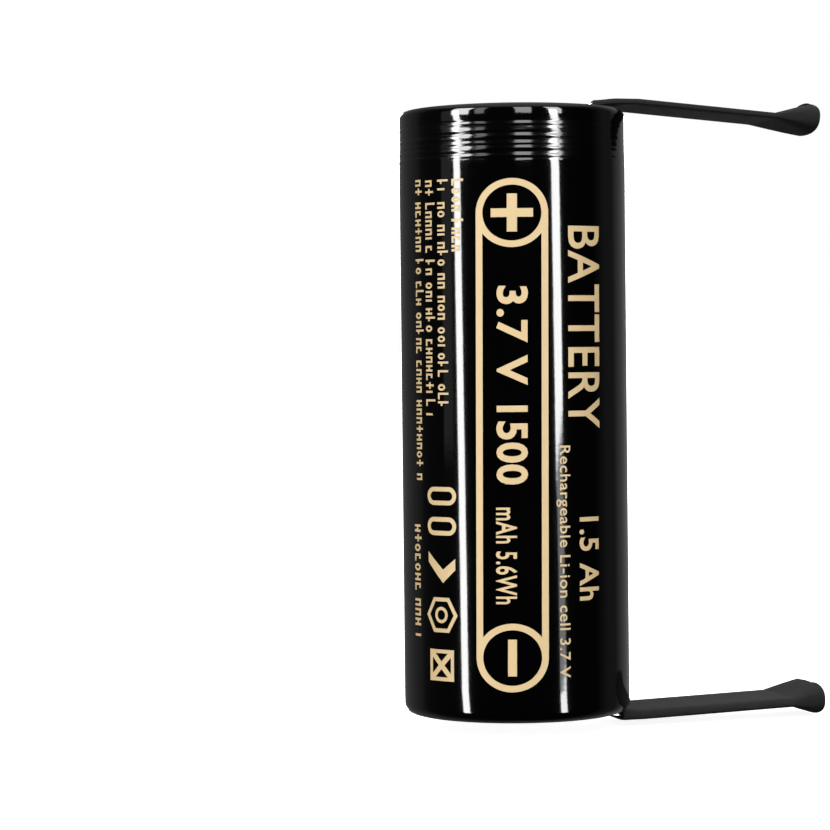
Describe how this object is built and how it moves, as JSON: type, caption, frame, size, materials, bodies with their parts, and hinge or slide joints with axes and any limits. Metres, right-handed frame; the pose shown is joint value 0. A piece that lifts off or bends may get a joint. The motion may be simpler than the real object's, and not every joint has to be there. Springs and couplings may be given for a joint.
{
  "type": "cylindrical battery cell",
  "caption": "Cylindrical rechargeable cell in a glossy black wrap, with a sleeved nickel solder tab welded to each end and bent out to one side.",
  "frame": {"origin": "on the cell's axis, in the outer face of the negative tab's welded pad", "axes": "+Z along the cell's axis towards the positive end, +X the way both tabs point"},
  "size_m": [0.0355, 0.0186, 0.0511],
  "materials": {
    "wrap": "glossy heat-shrink film, black",
    "sleeve": "matt heat-shrink sleeve, dark grey",
    "nickel": "plain nickel strip, fine rolled grain",
    "plated_steel": "nickel-plated steel, satin",
    "washer": "white insulating card, matt",
    "gasket": "natural polypropylene, satin",
    "ptc": "dark polymer ring, matt",
    "aluminium": "plain rolled aluminium",
    "spacer": "blue-grey insulating plastic",
    "separator": "white porous film",
    "cathode_coat": "black coating on aluminium foil",
    "anode_coat": "graphite coating on copper foil",
    "tape": "blue polyester tape",
    "insulator": "pale blue insulating paper"
  },
  "bodies": {
    "cell": {"outer_wrap": "wrap", "can": "plated_steel", "top_washer": "washer", "crimp_gasket": "gasket", "top_cap": "plated_steel", "ptc_ring": "ptc", "vent_disc_rim": "aluminium", "cid_spacer": "spacer", "cid_disc": "aluminium", "cathode_lead": "aluminium", "top_insulator": "insulator", "centre_pin": "plated_steel", "separator_inner": "separator", "cathode": "cathode_coat", "separator_outer": "separator", "anode": "anode_coat", "closing_tape": "tape", "bottom_insulator": "insulator", "anode_lead": "nickel", "positive_tab_pad": "nickel", "positive_sleeve_root": "sleeve", "negative_tab_pad": "nickel", "negative_sleeve_root": "sleeve"},
    "positive_tab": {"positive_tab_lead": "nickel", "positive_sleeve": "sleeve"},
    "negative_tab": {"negative_tab_lead": "nickel", "negative_sleeve": "sleeve"},
    "burst_disc": {"vent_diaphragm": "aluminium"}
  },
  "joints": [
    {"name": "positive_tab_bend", "type": "hinge", "parent": "cell", "child": "positive_tab", "pos_m": [0.00991, 0, 0.0496], "axis": [0, 1, 0], "range_deg": [-95, 80]},
    {"name": "negative_tab_bend", "type": "hinge", "parent": "cell", "child": "negative_tab", "pos_m": [0.00991, 0, -0.00043], "axis": [0, -1, 0], "range_deg": [-92, 83]},
    {"name": "burst_disc_lift", "type": "slide", "parent": "cell", "child": "burst_disc", "axis": [0, 0, 1], "range_m": [0, 0.0004]}
  ]
}
